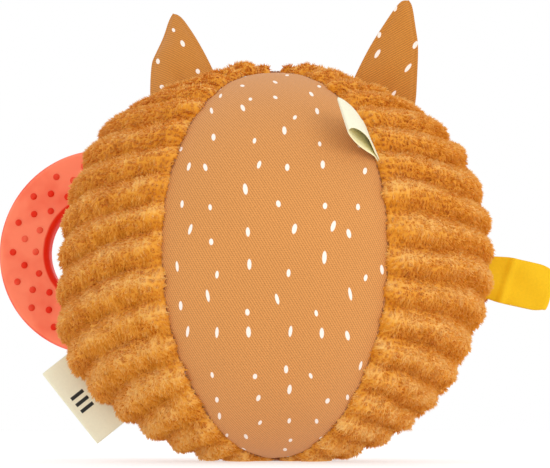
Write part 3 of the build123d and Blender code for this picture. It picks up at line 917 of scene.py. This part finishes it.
def ear_axes(azimuth, angle, lean):
    """An ear's origin, its direction along the seam to the pole, its outward one and its normal."""
    side, turn, tip = cos(radians(azimuth)), radians(angle), radians(lean)
    to_pole = np.array([-side * sin(turn), 0, cos(turn)])
    outward = np.array([side * cos(turn) * cos(tip), sin(tip), sin(turn) * cos(tip)])
    return on_seam(azimuth, angle, EAR_GAP), to_pole, outward, np.cross(to_pole, outward)


def ear_outline(name, height, inset):
    """Middle and half width of an ear at heights off its base, between its two rounded edges."""
    edges = []
    for corners in (EAR_OUTER_EDGES[name], EAR_INNER_EDGES[name]):
        path = rounded(np.array(corners) * MM)
        edges.append(np.interp(height, path[:, 1], path[:, 0]))
    return (edges[0] + edges[1]) / 2, np.maximum((edges[1] - edges[0]) / 2 - inset, 0.15 * MM)


def ear_sheet(name, axes, inset, rows, columns):
    """A grid over an ear's middle plane: points, cloth coordinates, share across and half width."""
    top = EAR_OUTER_EDGES[name][-1][1] * MM
    rise = np.concatenate([np.linspace(-EAR_SKIRT + inset, top * 0.8, rows - 14),
                           top * 0.8 + (top * 0.2 - inset) * np.sin(np.linspace(0, pi / 2, 15)[1:])])[:, None]
    across = np.sin(np.linspace(-1, 1, columns) * pi / 2 * 0.999)[None, :]
    middle, half = ear_outline(name, rise, inset)
    along = middle + across * half
    rise = rise + 0 * along
    return from_axes(axes[0], axes[1:3], along, rise), along, rise, across + 0 * rise, half + 0 * across


def ear(name, azimuth, angle, top, lean, seed):
    """A padded cotton ear, sewn round its edge and gathered at its base, with its crinkle film inside."""
    axes = ear_axes(azimuth, angle, lean)
    origin, _, outward, normal = axes
    points, along, rise, across, half = ear_sheet(name, axes, 0, *EAR_GRID)

    def bow(height, share):
        return EAR_BOW * np.sin(np.clip(height / top, 0, 1) * pi) * share

    round_edge = np.sqrt(np.maximum(1 - across**2, 0))
    to_edge = half * (1 - np.abs(across))
    seam_roll = 1 - 0.35 * hump(to_edge - 1.6 * MM, 0.7)
    base = fade(np.maximum(rise, 0), 7)
    gathers = wobble(along, rise, 2.6, 30, seed) * base * 1.5 * MM
    rumple = (noise(along / (9 * MM) + rise / (25 * MM), rise / (12 * MM), seed + 1) - 0.5) * 1.1 * MM
    puff = (0.9 * MM + 1.5 * MM * ramp(half, 10) * round_edge) * round_edge**0.7 * seam_roll
    sides = []
    for face in (1, -1):
        crease = (noise(along / (7 * MM) + 9 * face, rise / (9 * MM), seed + 2) - 0.5) * 0.7 * MM
        swell = puff + (gathers + crease) * round_edge + 0.15 * MM
        off = bow(rise, across) + rumple * round_edge + face * swell
        sides.append(points + off[..., None] * normal)
    uv = np.stack([along, rise], -1) + EAR_PRINT_SHIFT[name]
    piece = slab(f"{name}_ear_cotton", *sides, ear_cotton, uv, EAR_BACK_SHIFT)
    film_points, _, film_rise, film_across, _ = ear_sheet(name, axes, FILM_INSET, *FILM_GRID)
    crumple = (noise(film_rise / (3 * MM), film_across * 4, seed + 3) - 0.5) * 0.5 * MM
    film_grid = film_points + (bow(film_rise, film_across) + crumple)[..., None] * normal
    film, _ = cloth_slab(f"{name}_ear_crinkle_film", film_grid, FILM_THICK, film_plastic)
    finish_piece(piece, None, "ear_cotton", f"{name}_ear_front", f"{name}_ear_back")
    finish_piece(film, None, "crinkle_film", f"{name}_ear_film")
    for part in (piece, film):
        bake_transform(part)


for ear_seed, (ear_name, ear_place) in enumerate(EARS.items()):
    ear(ear_name, *ear_place, 61 + 10 * ear_seed)


# ---- teething ring and its strap

def teether_ring():
    """A moulded ring: rounded edges, and three rows of raised dots on each face."""
    arc = np.linspace(0, pi / 2, 7)
    band = (RING_OUTER - RING_HOLE) / 2
    steps = np.linspace(0, 1, 8)[1:-1, None]  # along a straight side
    centres = np.array([(1, 1), (-1, 1), (-1, -1), (1, -1)]) * (band - RING_EDGE, RING_THICK / 2 - RING_EDGE)
    profile = []
    for quarter in range(4):
        turn = arc + quarter * pi / 2
        edge = RING_EDGE * np.stack([np.cos(turn), np.sin(turn)], -1)
        bend, stop = centres[quarter] + edge, centres[(quarter + 1) % 4] + edge[-1]
        profile += [bend, bend[-1] + (stop - bend[-1]) * steps]
    profile = np.concatenate(profile)
    middle = (RING_OUTER + RING_HOLE) / 2
    turn = circle(192)[:, None]
    wander = (noise(turn * 3, profile[None, :, 0] / (9 * MM), 77) - 0.5) * 0.25 * MM
    out = middle + profile[None, :, 0] + 0 * turn
    up = profile[None, :, 1] * (1 + wander / RING_THICK * 2)
    points = from_axes(RING_CENTRE, RING_AXES, out * np.cos(turn), up + 0 * turn, out * np.sin(turn))
    faces = grid_faces(len(turn), len(profile), wrap_rows=True, wrap_columns=True)
    # Painted shade: the deeper red in the hole's inner wall and round the outer edge, where the band turns
    # from the light.
    inner = 1.4 * ramp(-profile[:, 0] - band + 2.6 * MM, 0.9)
    outer = ramp(profile[:, 0] - band + 1.3 * MM, 1.3)
    tone = np.broadcast_to(np.maximum(inner, outer)[None, :], out.shape)
    dot_turn = circle(14)[None, :]
    dot_out = np.array([1.05, 1, 0.93, 0.75, 0.45, 0.15])[:, None] * DOT_RADIUS
    dot_up = np.array([-0.5, 0.05, 0.4, 0.72, 0.9, 0.96])[:, None] * MM
    dots = []
    for face in (-1, 1):
        for row, ratio in enumerate(DOT_ROWS):
            for dot in range(DOTS_PER_ROW):
                place = radians(180 / DOTS_PER_ROW * (2 * dot + row % 2))
                x = RING_OUTER * ratio * cos(place) + dot_out * np.cos(dot_turn)
                z = RING_OUTER * ratio * sin(place) + dot_out * np.sin(dot_turn)
                y = face * (RING_THICK / 2 + dot_up) + 0 * dot_turn
                dots.append(from_axes(RING_CENTRE, RING_AXES, x, y, z)[:, ::face])
    dot_points, dot_faces = tubes(np.array(dots))
    count = points.size // 3
    all_faces = faces.tolist() + [[corner + count for corner in face] for face in dot_faces]
    all_points = np.concatenate([points.reshape(-1, 3), dot_points])
    all_tone = np.concatenate([tone.ravel(), np.full(len(dot_points), DOT_TONE)])
    piece = make_piece("teether_ring_moulding", all_points, all_faces, silicone, tone=all_tone)
    finish_piece(piece, "ring", "teether_silicone", "teether_ring")


def ring_strap():
    """The strap: two plies out of the seam that part and close round the ring's band."""
    band = RING_CENTRE[:2] + (RING_OUTER + RING_HOLE) / 2 * RING_SIDE[:2]
    side, ahead = RING_SIDE[:2], RING_AHEAD[:2]
    half_side = (RING_OUTER - RING_HOLE) / 2 + STRAP_PLAY + STRAP_PLY / 2
    half_ahead = RING_THICK / 2 + STRAP_FACE_PLAY + STRAP_PLY / 2
    hinge = STRAP_HINGE[:2]
    tail = STRAP_PLY / 2 + 0.05 * MM
    root = hinge - STRAP_RAY[:2] * 7 * MM

    def loop(side_share, ahead_share):
        return band + side_share * half_side * side + ahead_share * half_ahead * ahead

    neck = hinge + ahead * ((band - hinge) @ ahead - half_ahead - 1.5 * MM)
    mouth = neck + ahead * 1.5 * MM
    tails = ((root, tail), (hinge, tail), (neck, tail), (mouth, 2.5 * MM))
    corners = [place + side * off for place, off in tails]
    corners += [loop(*shares) for shares in ((1, -1), (1, 1), (0, 1), (-1, 1), (-1, -1))]
    corners += [place - side * off for place, off in tails[::-1]]
    halved = [corners[0]]
    for here, there in zip(corners, corners[1:]):
        halved += [here * 0.7 + there * 0.3, here * 0.3 + there * 0.7]
    path = rounded(halved + [corners[-1]], 2)
    across = tape_columns(0.96, 17)
    grid = np.stack([path[:, :1] + 0 * across, path[:, 1:] + 0 * across,
                     RING_CENTRE[2] + across * STRAP_WIDTH / 2 + 0 * path[:, :1]], -1)
    piece, length = cloth_slab("ring_strap_cloth", grid, STRAP_PLY * 0.85, strap_cloth)
    finish_piece(piece, None, "strap_cotton", "ring_strap")
    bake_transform(piece)


teether_ring()
ring_strap()


# ---- the face, on the side away from the camera

PATCH_LIFT = -3.2 * MM
TABLE_RUN = np.linspace(-HALF_RUN, HALF_RUN, 1500)
TABLE_UP = oval(TABLE_RUN, PATCH_LIFT)[1] - CENTRE_Z


def on_face(left, up, rise):
    """Points on the face panel: distances towards the face's left and up, and a height off it."""
    run = np.interp(up, TABLE_UP, TABLE_RUN)
    out = oval(run, PATCH_LIFT)[0]
    across = out * np.arcsin(np.clip(left / out, -1, 1))
    half = oval(run, 0)[0] * GORE_HALF
    return on_ball(pi / 2 + across / out, run, cotton_lift(run, across, half) + rise)


def face_patch(name, place, outline, height, material, slot, cleft=0.0):
    """A padded patch: outline gives its reach at each angle, and cleft parts it down the middle."""
    turn = circle(120)[None, :]
    share = np.concatenate([np.linspace(0.02, 0.9, 26), np.linspace(0.93, 1, 6)])[:, None]
    reach = outline(turn) * share
    left, up = place[0] + reach * np.cos(turn), place[1] + reach * np.sin(turn)
    dome = (1 - share**4) ** 0.5
    groove = 1 - cleft * hump(left - place[0], 2.2)
    grain = wobble(left, up, 1.4, 1.4, 91) * 0.18 * MM
    top = on_face(left, up, 0.25 * MM + height * dome * groove + grain * dome)
    under = on_face(left, up, -0.3 * MM + 0 * share)[::-1]
    points, faces = tubes(np.concatenate([top, under])[None])
    uv = np.stack([left, up], -1)
    piece = make_piece(name + "_felt", points, faces, material, uv=np.concatenate([uv, uv[::-1]]))
    finish_piece(piece, "ball", slot, name)


def face_stitches(name, paths, radius, rise, material, slot):
    """Embroidered lines: each path is a list of left and up positions, one stitch between two."""
    starts, ends, normals = [], [], []
    for path in paths:
        path = np.asarray(path, float)
        points = on_face(path[:, 0], path[:, 1], rise)
        above = on_face(path[:, 0], path[:, 1], rise + 1 * MM)
        starts.append(points[:-1])
        ends.append(points[1:])
        normals.append(unit(above - points)[:-1])
    piece = stitches(name, np.concatenate(starts), np.concatenate(ends), np.concatenate(normals),
                     radius, material)
    finish_piece(piece, "ball", slot)


CHEEK_SHIFT, CHEEK_WIDE, CHEEK_TALL = 11 * MM, 17 * MM, 15 * MM
MUZZLE_UP, NOSE_UP = -24 * MM, -13 * MM
NOSE_WIDE, NOSE_TALL = 7.5 * MM, 5.2 * MM
EDGING_PITCH = 1.6 * MM
EYE_SIDE, EYE_UP, EYE_RADIUS = 17 * MM, 10 * MM, 4.2 * MM


def muzzle_outline(turn):
    """Reach of two overlapping ellipses, side by side, from the middle between them."""
    a = (np.cos(turn) / CHEEK_WIDE) ** 2 + (np.sin(turn) / CHEEK_TALL) ** 2
    b = CHEEK_SHIFT * np.abs(np.cos(turn)) / CHEEK_WIDE**2
    c = (CHEEK_SHIFT / CHEEK_WIDE) ** 2 - 1
    return (b + np.sqrt(b**2 - a * c)) / a


def nose_outline(turn):
    """Reach of an ellipse with a flattened top."""
    flat_top = 1 - 0.18 * np.maximum(np.sin(turn), 0)
    return flat_top / np.sqrt((np.cos(turn) / NOSE_WIDE) ** 2 + (np.sin(turn) / NOSE_TALL) ** 2)


def eye_outline(turn):
    return EYE_RADIUS + 0 * turn


def edging(place, outline, length, inset):
    """Short stitches across a patch's edge, one after another round it."""
    turn = np.linspace(0, 2 * pi, 721)
    line = np.stack([outline(turn) * np.cos(turn), outline(turn) * np.sin(turn)], -1)
    run = np.concatenate([[0], np.cumsum(np.linalg.norm(np.diff(line, axis=0), axis=-1))])
    spots = np.interp(np.arange(0, run[-1] - 0.5 * MM, EDGING_PITCH), run, turn)
    paths = []
    for spot in spots:
        reach = outline(np.array(spot))
        ray = np.array([cos(spot), sin(spot)])
        paths.append([place + ray * (reach - inset), place + ray * (reach + length - inset)])
    return paths


face_patch("muzzle_patch", (0, MUZZLE_UP), muzzle_outline, 2.4 * MM, cream_felt, "cream_felt", 0.55)
face_patch("nose_patch", (0, NOSE_UP), nose_outline, 3.4 * MM, dark_felt, "dark_felt")
for eye, eye_side in (("left_eye", 1), ("right_eye", -1)):
    face_patch(eye, (eye_side * EYE_SIDE, EYE_UP), eye_outline, 1.1 * MM, dark_felt, "dark_felt")
face_stitches("muzzle_edging", edging(np.array([0, MUZZLE_UP]), muzzle_outline, 2.2 * MM, 1.4 * MM),
              EDGING_RADIUS, 0.6 * MM, closing_thread, "closing_thread")
mouth_paths = [[(0, NOSE_UP - 4.5 * MM - 2.2 * MM * k) for k in range(4)]]
for mouth_side in (-1, 1):
    mouth_paths.append([(mouth_side * (7 * MM * (1 - cos(bend)) + 5 * MM * sin(bend)),
                         NOSE_UP - 11 * MM - 2.5 * MM * sin(1.6 * bend))
                        for bend in np.linspace(0, radians(70), 6)])
face_stitches("mouth_stitching", mouth_paths, MOUTH_RADIUS, 2.3 * MM, whisker_thread, "dark_felt")
glints = [[(eye_left - 1.4 * MM, EYE_UP + 1.2 * MM), (eye_left - 0.4 * MM, EYE_UP + 2.0 * MM)]
          for eye_left in (-EYE_SIDE, EYE_SIDE)]
face_stitches("eye_glints", glints, GLINT_RADIUS, 1.3 * MM, cream_thread, "cream_felt")


# ---- finishes of the CAD nodes that still show or lie inside

for node, material in (("back_filling", wadding), ("front_filling", wadding),
                       ("rattle_case_upper", case_plastic), ("rattle_case_lower", case_plastic),
                       ("rattle_beads", bead_plastic)):
    carried = frame["nodes"][node]
    carried.data.materials.clear()
    carried.data.materials.append(material)
